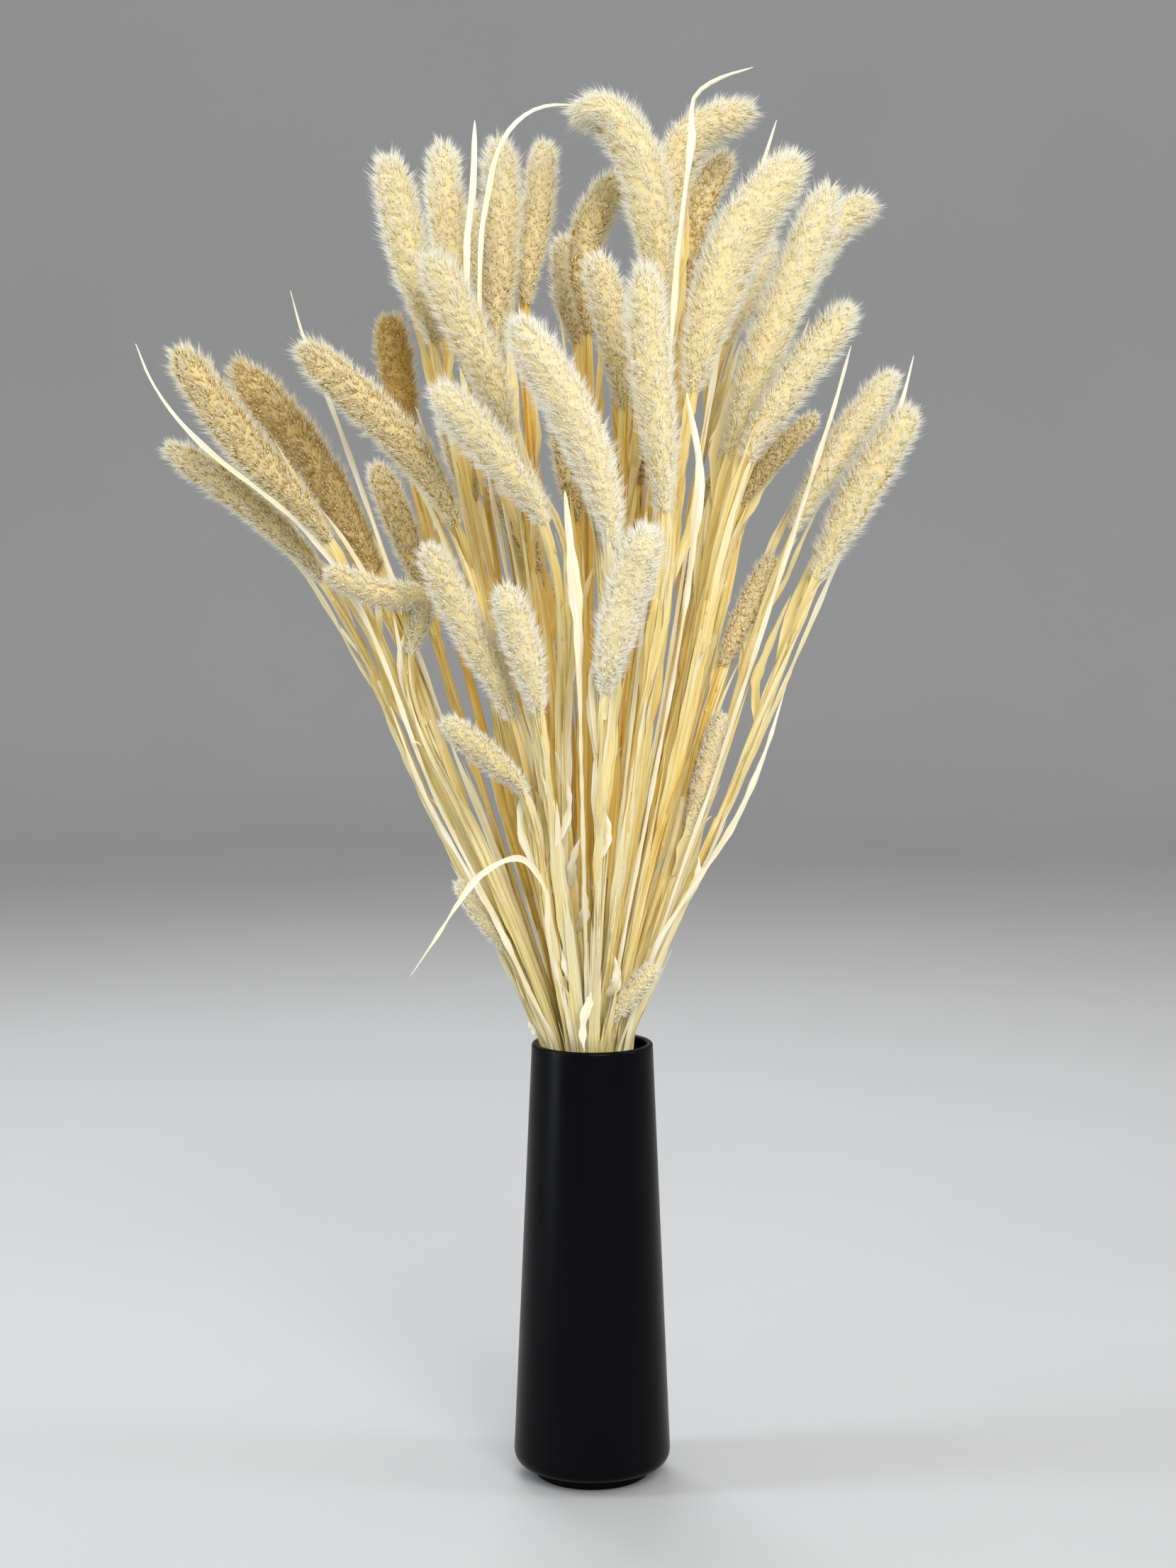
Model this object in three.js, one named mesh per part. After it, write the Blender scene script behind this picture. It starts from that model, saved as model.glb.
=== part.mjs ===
// A bunch of dried, bleached foxtail grass standing in a tall tapered vase.
// Millimetres, +Z up, origin at the centre of the vase's foot, on the table. The front of the bunch faces -Y.
// Each grass stalk is one solid, from its cut end on the vase's floor to the tip of its furry head.
// The loose leaf blades are pulled into the bunch beside the stalks and stand in the vase's mouth.
import * as THREE from "three";

// The vase: a tapered round body on a small inset foot, with a rounded lip
const VASE_HEIGHT = 227.5;
const RIM_RADIUS = 31.2;
const BASE_RADIUS = 40.6;
const FOOT_RADIUS = 29.5;
const FOOT_HEIGHT = 6;
const BASE_ROUNDING = 8;
const WALL = 3.4;
const FLOOR_HEIGHT = 11;
const VASE_SIDES = 40;

// The bunch: upright inside the vase, then spread like a fan from the vase's mouth
const BUNCH_CENTRE_X = -1.2;
const BUNCH_RADIUS = 21.5;
const MOUTH_HEIGHT = 222;
const FAN_SPREAD = 0.47;
const NECK_LENGTH = 26;

// How plants that touch give way: the gap they keep and its error, the share of the missing gap that each of
// two plants makes up in one round, the most that it moves in depth, and how much of a push reaches a head's
// other end
const GAP = 0.36;
const GAP_ERROR = 0.03;
const PUSH = 0.55;
const DEPTH_STEP = 4;
const FAR_END_PUSH = 0.35;
const SETTLE_ROUNDS = 600;

// The stalks and the leaf blades
const STEM_RADIUS = 1.5;
const STEM_TOP_RADIUS = 1.25;
const STALK_SIDES = 6;
const BLADE_ROOT_HALF_WIDTH = 1.2;
const BLADE_TOP_HALF_WIDTH = 1.8;
const BLADE_THICKNESS = 0.9;
const BLADE_SIDES = 4;
const BLADE_ROOT_HEIGHT = 150;

// The front view: points on it are [mm right of the vase's axis, mm above the vase's foot], as an eye sees
// them that looks slightly down at the bunch. A depth, in mm behind the vase's axis, carries such a point
// into space.
const EYE_DISTANCE = 1374;
const EYE_PITCH = THREE.MathUtils.degToRad(5.4);
const EYE_HEIGHT = 490;
const VIEW_CENTRE = [-2.2, 350.4];

// Furry heads: the front view from tip to base, the depth at the tip and at the base, and the radius to the
// bristles' tips
const HEADS = [
  { view: [[-218, 523], [-180, 497], [-137, 454]], depth: [5, 5], radius: 10 },
  { view: [[-213, 573], [-180, 527], [-134, 473]], depth: [-35, -25], radius: 12.5 },
  { view: [[-183, 565], [-149, 523], [-110, 457]], depth: [-10, -5], radius: 13 },
  { view: [[-150, 575], [-122, 550], [-95, 523], [-69, 482]], depth: [-65, -50], radius: 12 },
  { view: [[-104, 589], [-99, 556], [-93, 522]], depth: [60, 45], radius: 11 },
  { view: [[-111, 514], [-99, 486], [-86, 448]], depth: [35, 25], radius: 9.5 },
  { view: [[-81, 554], [-53, 523], [-24, 482]], depth: [-100, -80], radius: 12 },
  { view: [[-105, 672], [-99, 646], [-93, 618], [-80, 574]], depth: [-5, 0], radius: 12.5 },
  { view: [[-84, 622], [-62, 578], [-42, 526]], depth: [-45, -40], radius: 12.5 },
  { view: [[-76, 678], [-75, 646], [-68, 590]], depth: [30, 25], radius: 11.5 },
  { view: [[-47, 680], [-47, 630], [-49, 571]], depth: [5, 5], radius: 12 },
  { view: [[-24, 679], [-28, 642], [-34, 594]], depth: [45, 35], radius: 10 },
  { view: [[-40, 589], [-22, 559], [-5, 529], [11, 470]], depth: [-120, -95], radius: 13.5 },
  {
    view: [[-12, 690], [1, 694], [14, 686], [24, 668], [29, 646], [35, 594]],
    depth: [-25, -15], radius: 14,
  },
  { view: [[27, 616], [28, 586], [31, 556], [36, 488]], depth: [-100, -80], radius: 12 },
  { view: [[14, 661], [2, 643], [-4, 622], [-2, 579]], depth: [30, 25], radius: 11 },
  { view: [[1, 621], [7, 601], [16, 541]], depth: [-45, -30], radius: 11 },
  { view: [[83, 695], [60, 686], [44, 672], [39, 650], [39, 614]], depth: [15, 20], radius: 12.5 },
  { view: [[70, 672], [58, 654], [49, 622], [47, 598]], depth: [55, 45], radius: 10.5 },
  { view: [[106, 672], [91, 652], [76, 631], [60, 590], [51, 549]], depth: [-60, -50], radius: 15.5 },
  { view: [[145, 647], [128, 639], [116, 624], [102, 590]], depth: [45, 30], radius: 12 },
  { view: [[122, 657], [108, 620], [88, 572], [70, 515]], depth: [-15, -20], radius: 13 },
  { view: [[133, 595], [103, 556], [78, 514]], depth: [-50, -45], radius: 11.5 },
  { view: [[115, 539], [94, 518], [76, 492]], depth: [30, 15], radius: 7 },
  { view: [[155, 561], [129, 525], [102, 479]], depth: [0, -5], radius: 10.5 },
  { view: [[164, 543], [142, 508], [113, 454]], depth: [-35, -25], radius: 12 },
  { view: [[30, 483], [18, 448], [6, 396]], depth: [-125, -100], radius: 12 },
  { view: [[-85, 473], [-66, 435], [-40, 382]], depth: [-85, -65], radius: 10.5 },
  { view: [[-46, 452], [-37, 426], [-27, 386]], depth: [-100, -80], radius: 10.5 },
  { view: [[-76, 383], [-53, 364], [-34, 345]], depth: [-85, -60], radius: 8 },
  {
    view: [[-137, 459], [-124, 454], [-110, 448], [-98, 448], [-87, 443], [-86, 434], [-93, 416]],
    depth: [-55, -40], radius: 8.5,
  },
  { view: [[93, 467], [79, 439], [66, 410]], depth: [5, 0], radius: 8 },
  { view: [[67, 387], [59, 360], [48, 321]], depth: [-10, -10], radius: 7 },
  { view: [[-69, 301], [-56, 282], [-41, 262]], depth: [-15, -10], radius: 5.5 },
  { view: [[32, 258], [21, 244], [10, 229]], depth: [-30, -23], radius: 6.5 },
  { view: [[18, 574], [20, 538], [23, 502]], depth: [35, 25], radius: 10 },
  { view: [[65, 510], [58, 482], [50, 452]], depth: [35, 20], radius: 8.5 },
  { view: [[-52, 514], [-40, 488], [-28, 458]], depth: [5, 0], radius: 9 },
  { view: [[-23, 458], [-20, 426], [-17, 394]], depth: [15, 10], radius: 8 },
  { view: [[-17, 546], [-12, 514], [-8, 484]], depth: [-5, 0], radius: 9 },
  { view: [[-62, 646], [-58, 618], [-52, 590]], depth: [95, 70], radius: 10 },
  { view: [[-14, 630], [-12, 602], [-8, 574]], depth: [115, 85], radius: 10.5 },
  { view: [[34, 650], [32, 620], [28, 590]], depth: [120, 85], radius: 10.5 },
  { view: [[90, 630], [80, 600], [68, 574]], depth: [90, 65], radius: 10 },
  { view: [[-74, 542], [-68, 518], [-60, 494]], depth: [85, 55], radius: 9.5 },
  { view: [[82, 558], [76, 535], [68, 510]], depth: [75, 50], radius: 9.5 },
];

// Leaf blades: the front view from tip to root, the depth at both ends, half the greatest width, and the
// angle that the flat side is turned by
const BLADES = [
  {
    view: [[82, 716], [62, 709], [53, 702], [51, 678], [45, 630], [40, 570]],
    depth: [-62, -60], halfWidth: 2.8, turn: 20,
  },
  {
    view: [[-8, 697], [-26, 696], [-40, 687], [-48, 674], [-54, 646], [-57, 618]],
    depth: [-30, -25], halfWidth: 1.8, turn: 0,
  },
  {
    view: [[-93, 252], [-78, 274], [-62, 298], [-46, 312], [-33, 311], [-25, 300], [-23, 278]],
    depth: [-75, -55], halfWidth: 1.9, turn: 10,
  },
  {
    view: [[-233, 575], [-224, 554], [-202, 526], [-170, 500], [-138, 470]],
    depth: [-62, -50], halfWidth: 1.6, turn: 0,
  },
  { view: [[-103, 390], [-86, 346], [-66, 310], [-44, 270]], depth: [-30, -18], halfWidth: 1.6, turn: 0 },
  {
    view: [[99, 401], [88, 366], [72, 330], [50, 296], [34, 270]],
    depth: [-32, -20], halfWidth: 2, turn: 0,
  },
  { view: [[-60, 689], [-61, 654], [-64, 618]], depth: [-35, -30], halfWidth: 2.4, turn: 15 },
  { view: [[94, 689], [88, 670], [82, 650], [72, 610]], depth: [0, 0], halfWidth: 1.5, turn: 0 },
  { view: [[-154, 602], [-148, 580], [-136, 550]], depth: [-25, -20], halfWidth: 1.2, turn: 0 },
  { view: [[132, 574], [123, 542], [114, 514]], depth: [-30, -25], halfWidth: 1.5, turn: 0 },
  { view: [[164, 569], [158, 546], [148, 520]], depth: [8, 5], halfWidth: 1.4, turn: 0 },
  { view: [[-14, 500], [-11, 470], [-7, 430], [-6, 395]], depth: [-108, -92], halfWidth: 3.6, turn: 25 },
  { view: [[48, 550], [55, 510], [52, 478], [49, 454]], depth: [-75, -62], halfWidth: 3, turn: -20 },
];

// Where a stem has its rings, by the points of its centre line: cut end, neck, mouth, just above the mouth,
// and half way up the fan
const STEM_RINGS = [0, 1, 2, 2.4, 3];
const ROOT_POINT = 4;
const ROOT_RING = STEM_RINGS.length;

// How thick a head and a blade are along their length, as [share of the length, share of the greatest size]
const HEAD_FORM = [[0.02, 0.36], [0.14, 0.64], [0.36, 0.93], [0.66, 1], [0.88, 0.88], [0.975, 0.54]];
const BLADE_FORM = [
  [0.15, 0.75], [0.33, 0.95], [0.5, 1], [0.66, 0.85], [0.8, 0.66], [0.9, 0.46], [0.97, 0.25],
];

// The point in space that the eye sees at a point of the front view, at a given depth
function place([x, height], depth) {
  const eye = new THREE.Vector3(VIEW_CENTRE[0], -EYE_DISTANCE * Math.cos(EYE_PITCH), EYE_HEIGHT);
  const ray = new THREE.Vector3(x - VIEW_CENTRE[0], height - VIEW_CENTRE[1], -EYE_DISTANCE);
  ray.applyAxisAngle(new THREE.Vector3(1, 0, 0), Math.PI / 2 - EYE_PITCH);
  return eye.add(ray.multiplyScalar((depth - eye.y) / ray.y));
}

// Where a plant stands in the vase's mouth, so that the fan of the bunch carries it to its root point above
function mouthPlace(root) {
  const reach = BUNCH_RADIUS + FAN_SPREAD * (root.z - MOUTH_HEIGHT);
  const mouth = new THREE.Vector2(root.x - BUNCH_CENTRE_X, root.y).divideScalar(reach);
  return mouth.clampLength(0, 1).multiplyScalar(BUNCH_RADIUS).add(new THREE.Vector2(BUNCH_CENTRE_X, 0));
}

// A plant's centre line, ring by ring, and how thick it is at each ring
function grow(plant) {
  const seen = [...plant.view].reverse();
  const last = seen.length - 1;
  const [tipDepth, rootDepth] = plant.depth;
  const upper = seen.map((point, i) => place(point, THREE.MathUtils.lerp(rootDepth, tipDepth, i / last)));
  plant.mouth ??= mouthPlace(upper[0]);
  const inVase = (z) => new THREE.Vector3(plant.mouth.x, plant.mouth.y, z);
  const fan = inVase(MOUTH_HEIGHT).lerp(upper[0], 0.5);
  const bottom = inVase(plant.halfWidth ? BLADE_ROOT_HEIGHT : FLOOR_HEIGHT + GAP);
  const neck = inVase(MOUTH_HEIGHT - NECK_LENGTH);
  const spine = new THREE.CatmullRomCurve3([bottom, neck, inVase(MOUTH_HEIGHT), fan, ...upper]);

  const steps = 20;
  const lengths = spine.getLengths((spine.points.length - 1) * steps);
  const shareAt = (spinePoint) => lengths[Math.round(spinePoint * steps)] / lengths.at(-1);
  const root = shareAt(ROOT_POINT);
  const lowSize = plant.halfWidth ? BLADE_ROOT_HALF_WIDTH : STEM_RADIUS;
  const rings = STEM_RINGS.map((spinePoint) => [shareAt(spinePoint), lowSize]);
  rings.push([root, plant.halfWidth ? BLADE_TOP_HALF_WIDTH : STEM_TOP_RADIUS]);
  const form = plant.halfWidth ? BLADE_FORM : HEAD_FORM;
  const size = plant.halfWidth ?? plant.radius;
  for (const [share, thickness] of form) rings.push([root + share * (1 - root), size * thickness]);
  rings.push([1, 0]);
  plant.centres = rings.map(([u]) => spine.getPointAt(u));
  plant.tangents = rings.map(([u]) => spine.getTangentAt(u));
  plant.sizes = rings.map(([, thickness]) => thickness);
  plant.parts = plant.centres.slice(1).map((end, i) => {
    const line = new THREE.Line3(plant.centres[i], end);
    const size = Math.max(plant.sizes[i], plant.sizes[i + 1]);
    return { line, size, middle: line.getCenter(new THREE.Vector3()), reach: line.distance() / 2 + size };
  });
}

// Where two plants come closest for their thickness: the gap that is missing and how high up each plant it is
function worstTouch(a, b) {
  let worst = { missing: 0 };
  const nearA = new THREE.Vector3();
  const nearB = new THREE.Vector3();
  a.parts.forEach((partA, i) => {
    b.parts.forEach((partB, j) => {
      if (partA.middle.distanceTo(partB.middle) > partA.reach + partB.reach + GAP) return;
      const room = partA.size + partB.size + GAP;
      const apart = Math.sqrt(partA.line.distanceSqToLine3(partB.line, nearA, nearB));
      if (room - apart < Math.max(worst.missing, GAP_ERROR)) return;
      const ringA = i + partA.line.closestPointToPointParameter(nearA, true);
      const ringB = j + partB.line.closestPointToPointParameter(nearB, true);
      worst = { missing: room - apart, room, away: nearA.clone().sub(nearB), ringA, ringB };
    });
  });
  return worst;
}

// Moves a plant aside: in the vase's mouth where the touch is low down, and only in depth where it is higher,
// so that the front view stays as it is
function giveWay(plant, ring, away, depthStep, missing) {
  const top = plant.centres.length - 1;
  if (ring < ROOT_RING - 1) {
    const aside = new THREE.Vector2(away.x, away.y);
    if (aside.length() === 0) aside.set(0, 1);
    const bunchCentre = new THREE.Vector2(BUNCH_CENTRE_X, 0);
    plant.mouth.add(aside.setLength(missing * PUSH));
    plant.mouth.sub(bunchCentre).clampLength(0, BUNCH_RADIUS).add(bunchCentre);
    return;
  }
  const alongHead = THREE.MathUtils.clamp((ring - ROOT_RING) / (top - ROOT_RING), 0, 1);
  plant.depth[0] += depthStep * THREE.MathUtils.lerp(FAR_END_PUSH, 1, alongHead);
  plant.depth[1] += depthStep * THREE.MathUtils.lerp(1, FAR_END_PUSH, alongHead);
}

// Plants that touch push each other apart until the whole bunch hangs together with a gap between all of them
function settle(plants) {
  for (let round = 0; round < SETTLE_ROUNDS; round++) {
    plants.forEach(grow);
    let touching = 0;
    for (let a = 0; a < plants.length; a++) {
      for (let b = a + 1; b < plants.length; b++) {
        const touch = worstTouch(plants[a], plants[b]);
        if (touch.missing === 0) continue;
        touching++;
        const across = Math.min(touch.room, Math.hypot(touch.away.x, touch.away.z));
        const depthNeeded = Math.sqrt(touch.room ** 2 - across ** 2) - Math.abs(touch.away.y);
        const side = Math.sign(touch.away.y) || Math.sign(plants[a].depth[1] - plants[b].depth[1]) || 1;
        const step = side * Math.min(depthNeeded, DEPTH_STEP) * PUSH;
        giveWay(plants[a], touch.ringA, touch.away, step, touch.missing);
        giveWay(plants[b], touch.ringB, touch.away.clone().negate(), -step, touch.missing);
      }
    }
    if (touching === 0) return;
  }
}

// A closed round or flat body along a plant's centre line: a lathe's rings, each carried to its place on it
function plantGeometry(plant, sides) {
  const top = plant.centres.length - 1;
  const rings = plant.sizes.map((size, ring) => new THREE.Vector2(size, ring));
  const geometry = new THREE.LatheGeometry([new THREE.Vector2(0, 0), ...rings], sides);
  const across = new THREE.Vector3(1, 0, 0).applyAxisAngle(
    new THREE.Vector3(0, 0, 1),
    THREE.MathUtils.degToRad(plant.turn ?? 0),
  );
  const turning = new THREE.Quaternion();
  const frames = plant.tangents.map((tangent, ring) => {
    if (ring > 0) across.applyQuaternion(turning.setFromUnitVectors(plant.tangents[ring - 1], tangent));
    return { across: across.clone(), thick: across.clone().cross(tangent) };
  });
  const position = geometry.getAttribute("position");
  const point = new THREE.Vector3();
  for (let i = 0; i < position.count; i++) {
    const ring = Math.round(position.getY(i));
    const flat = plant.halfWidth ? Math.min(1, BLADE_THICKNESS / 2 / Math.max(plant.sizes[ring], 1e-6)) : 1;
    point.copy(plant.centres[ring]);
    if (ring < top) {
      point.addScaledVector(frames[ring].across, position.getX(i));
      point.addScaledVector(frames[ring].thick, position.getZ(i) * flat);
    }
    position.setXYZ(i, point.x, point.y, point.z);
  }
  return geometry;
}

// The vase's outline, turned about its axis: foot, rounded base, tapered side, rounded lip, then the inside
function vaseGeometry() {
  const lip = WALL / 2;
  const outline = new THREE.Path();
  outline.moveTo(0, 0);
  outline.lineTo(FOOT_RADIUS - 0.8, 0);
  outline.lineTo(FOOT_RADIUS, 0.8);
  outline.lineTo(FOOT_RADIUS, FOOT_HEIGHT);
  outline.lineTo(BASE_RADIUS - BASE_ROUNDING, FOOT_HEIGHT);
  outline.quadraticCurveTo(BASE_RADIUS, FOOT_HEIGHT, BASE_RADIUS, FOOT_HEIGHT + BASE_ROUNDING);
  outline.lineTo(RIM_RADIUS, VASE_HEIGHT - lip);
  outline.absarc(RIM_RADIUS - lip, VASE_HEIGHT - lip, lip, 0, Math.PI);
  outline.lineTo(BASE_RADIUS - WALL, FLOOR_HEIGHT + BASE_ROUNDING / 2);
  outline.quadraticCurveTo(BASE_RADIUS - WALL, FLOOR_HEIGHT, BASE_RADIUS - BASE_ROUNDING, FLOOR_HEIGHT);
  outline.lineTo(0, FLOOR_HEIGHT);
  return new THREE.LatheGeometry(outline.getPoints(3), VASE_SIDES).rotateX(Math.PI / 2);
}

const glaze = new THREE.MeshStandardMaterial({ color: 0x15161a, roughness: 0.38, metalness: 0 });
const bleachedGrass = new THREE.MeshStandardMaterial({ color: 0xe9dcb4, roughness: 0.9, metalness: 0 });
const dryBlade = new THREE.MeshStandardMaterial({ color: 0xe6dcbe, roughness: 0.7, metalness: 0 });

const bouquet = new THREE.Group();

function add(name, geometry, material) {
  const mesh = new THREE.Mesh(geometry, material);
  mesh.name = name;
  bouquet.add(mesh);
}

const plants = [...HEADS, ...BLADES];
settle(plants);

add("vase", vaseGeometry(), glaze);
const numbered = (word, i) => `${word}_${String(i + 1).padStart(2, "0")}`;
HEADS.forEach((plant, i) => add(numbered("foxtail", i), plantGeometry(plant, STALK_SIDES), bleachedGrass));
BLADES.forEach((plant, i) => add(numbered("leaf", i), plantGeometry(plant, BLADE_SIDES), dryBlade));

export default bouquet;
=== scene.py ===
"""A vase of bleached foxtail grass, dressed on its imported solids.

Every stalk and leaf blade follows the centre line of its own solid, which is read from the solid's rings, and
the vase follows its solid's outline. Lengths are metres, +Z is up, and the front of the bunch faces -Y.
"""

import math
from collections import namedtuple

import bpy
import numpy as np
from mathutils import Euler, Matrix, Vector


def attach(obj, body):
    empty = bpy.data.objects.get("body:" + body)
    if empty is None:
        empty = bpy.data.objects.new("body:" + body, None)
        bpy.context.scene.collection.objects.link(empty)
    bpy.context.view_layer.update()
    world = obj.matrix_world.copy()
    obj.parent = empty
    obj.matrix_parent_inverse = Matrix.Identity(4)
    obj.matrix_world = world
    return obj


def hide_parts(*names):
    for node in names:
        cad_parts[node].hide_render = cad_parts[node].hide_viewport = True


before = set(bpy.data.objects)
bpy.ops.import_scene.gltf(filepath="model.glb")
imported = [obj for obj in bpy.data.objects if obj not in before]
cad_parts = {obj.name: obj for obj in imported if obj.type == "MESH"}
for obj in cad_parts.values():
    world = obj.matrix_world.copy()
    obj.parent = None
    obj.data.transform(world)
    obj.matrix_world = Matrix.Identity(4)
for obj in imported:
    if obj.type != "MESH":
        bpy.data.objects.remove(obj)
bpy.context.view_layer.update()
STALKS = sorted(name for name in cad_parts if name.startswith("foxtail"))
BLADES = sorted(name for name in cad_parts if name.startswith("leaf"))
MM = 0.001

# The photograph's frame in its own pixels, and the eye: its focal length in those pixels, its place and pitch
PHOTO_SIZE = (1659, 2212)
FOCAL_PIXELS = 3800
SENSOR_WIDTH = 36.0
EYE = (-2.2 * MM, -1368 * MM, 490 * MM)
EYE_PITCH = math.radians(5.4)

# The round stage: its flat part, the bend up to its wall, and the wall's height
STAGE_RADIUS = 2.8
STAGE_BEND = 0.9
STAGE_WALL = 1.7

bl_info = {
    "name": "Vase of dried foxtail grass",
    "version": (1, 0, 0),
    "blender": (4, 5, 0),
    "location": "3D View > Sidebar > Foxtail Grass",
    "description": "Dresses the packed solids of a vase of bleached foxtail grass",
    "category": "Object",
}

# The vase's mouth and the fan above it: its height, how far out the stalks stand there, how much wider the
# bunch gets for each unit of height, and the height above the mouth where the painted golden shade on the
# inner straw and heads is full
MOUTH_HEIGHT = 222 * MM
MOUTH_REACH = 21 * MM
FAN_WIDENING = 0.45
SHADE_FULL_HEIGHT = 120 * MM

# How many rings a head, a stem and a large blade have along them
HEAD_RINGS = 64
STEM_RINGS = 60
BLADE_RINGS = 110

# The length of head that the numbers of husks and bristles are given for, and the turn between husks
USUAL_HEAD = 120 * MM
GOLDEN_ANGLE = math.pi * (3 - math.sqrt(5))

# A leaf sheath: half its width at its lower end, how fast that grows upwards, and half its depth
SHEATH_HALF_WIDTH = 1.75 * MM
SHEATH_GAIN = 0.9 * MM
SHEATH_HALF_DEPTH = 1.62 * MM

# How far from a stem's line a narrow blade and a papery end start
BLADE_GAP = 1.4 * MM
PAPER_GAP = 1.3 * MM

# Half the thickness of a papery end, a narrow blade and a large blade
PAPER_HALF = 0.12 * MM
NARROW_HALF = 0.14 * MM
LARGE_HALF = 0.2 * MM

# How tan a head is, from 0 to about 1.3, or under 0 for one whiter than most. It is partly the head's
# ripeness
# and partly painted shade on heads in shadow at the left and back, and painted light, under 0, on lit front
# heads
RIPENESS_AND_SHADE = {
    "foxtail_01": 0.35, "foxtail_02": 0.5, "foxtail_03": 0.8, "foxtail_04": 0.4, "foxtail_05": 1.25,
    "foxtail_06": 0.42, "foxtail_07": -0.1, "foxtail_12": 0.15, "foxtail_13": -0.15, "foxtail_14": -0.1,
    "foxtail_16": 0.3, "foxtail_19": 0.5, "foxtail_24": 0.5, "foxtail_26": 0.12, "foxtail_27": -0.25,
    "foxtail_29": -0.2, "foxtail_31": 0.2, "foxtail_32": 0.35, "foxtail_36": 0.45, "foxtail_37": 0.3,
    "foxtail_38": 0.27, "foxtail_40": 0.36, "foxtail_41": 0.3, "foxtail_42": 0.35, "foxtail_43": 0.35,
    "foxtail_45": 0.35,
}

# White papery scraps on the front stalks, in millimetres: the height where one leaves its stem, how far it
# runs sideways and upwards, how far it stands out to the front, its width, and how far it bows sideways
PAPERY_SCRAPS = {
    "foxtail_01": [(231, -8, 7, 1, 5, -1)],
    "foxtail_07": [(312, 4, 26, 12, 4.5, -2), (288, 3, 26, 14, 5, 3)],
    "foxtail_27": [(260, -5, -31, 1, 5, -3), (330, 3, 24, 4, 4, 3)],
    "foxtail_28": [(318, -7, 50, 8, 4, -7)],
    "foxtail_29": [(336, 5, 34, 5, 3.5, 4), (262, -3, 26, 5, 5, -2)],
    "foxtail_26": [(300, 9, 26, 6, 5, 3)],
    "foxtail_15": [(252, 5, 24, 12, 6, 3)],
}

# One kind of material per slot of a grass piece
STRAW, SPIKELET, BRISTLE = range(3)

# A batch of triangles: points (n, 3), triangles (m, 3), the finish of each triangle, and at each point its
# tone from 0, deep, to 1, bleached, which also carries painted shade, its place in the straw's grain, in
# millimetres across and along the fibres, and whether it lies on a blade's sharp rim
Surface = namedtuple("Surface", "points triangles finish tone grain rim")


# Arrays


def unit(vectors):
    """Each vector divided by its own length."""
    return vectors / np.maximum(np.linalg.norm(vectors, axis=-1, keepdims=True), 1e-12)


def along(places, values, at):
    """Rows of values, known at the places, read at other places by straight interpolation."""
    return np.stack([np.interp(at, places, column) for column in np.atleast_2d(values.T)], axis=-1)


def smooth_line(points, count):
    """A smooth curve through the points, read at count places an even length apart.

    The curve's direction at a point is the mean of the directions of the two runs that meet there, each
    weighted with the other's length, so a long run may follow a short one. From point a to point b, with
    directions d and e times the run's length, it is
    a (1 + 2t) (1 - t)^2 + d t (1 - t)^2 + b t^2 (3 - 2t) + e t^2 (t - 1).
    """
    runs = np.diff(points, axis=0)
    chords = np.linalg.norm(runs, axis=1)[:, None]
    slopes = runs / chords
    inner = (slopes[:-1] * chords[1:] + slopes[1:] * chords[:-1]) / (chords[:-1] + chords[1:])
    slopes = np.vstack([slopes[:1], inner, slopes[-1:]])
    a, b = points[:-1, None], points[1:, None]
    d, e = (slopes[:-1] * chords)[:, None], (slopes[1:] * chords)[:, None]
    t = np.linspace(0, 1, 24, endpoint=False)[None, :, None]
    line = a * (1 + 2 * t) * (1 - t) ** 2 + d * t * (1 - t) ** 2 + b * t**2 * (3 - 2 * t) + e * t**2 * (t - 1)
    line = np.vstack([line.reshape(-1, 3), points[-1:]])
    walked = np.append(0, np.cumsum(np.linalg.norm(np.diff(line, axis=0), axis=1)))
    return along(walked, line, np.linspace(0, walked[-1], count))


def directions(line):
    """The forward, side and top directions along a line, the side kept square to the depth direction Y."""
    forward = unit(np.gradient(line, axis=0))
    side = unit(np.cross((0.0, 1.0, 0.0), forward))
    return forward, side, np.cross(forward, side)


def turned(side, top, angle):
    """Side and top turned about the forward direction by an angle per ring."""
    cos, sin = np.cos(angle)[:, None], np.sin(angle)[:, None]
    return side * cos + top * sin, top * cos - side * sin


# Surfaces


def grid_triangles(rings, sides):
    """Two triangles for each cell of a grid of rings, and fans from the points numbered last at each end."""
    first = np.arange(rings - 1)[:, None] * sides
    here, there = np.arange(sides), np.roll(np.arange(sides), -1)
    low, low_next, high, high_next = first + here, first + there, first + here + sides, first + there + sides
    cells = np.stack([low, low_next, high_next, low, high_next, high], axis=-1).reshape(-1, 3)
    bottom, top = rings * sides, rings * sides + 1
    last = (rings - 1) * sides
    start = np.stack([there, here, np.full(sides, bottom)], axis=-1)
    end = np.stack([last + here, last + there, np.full(sides, top)], axis=-1)
    return np.vstack([cells, start, end])


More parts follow.
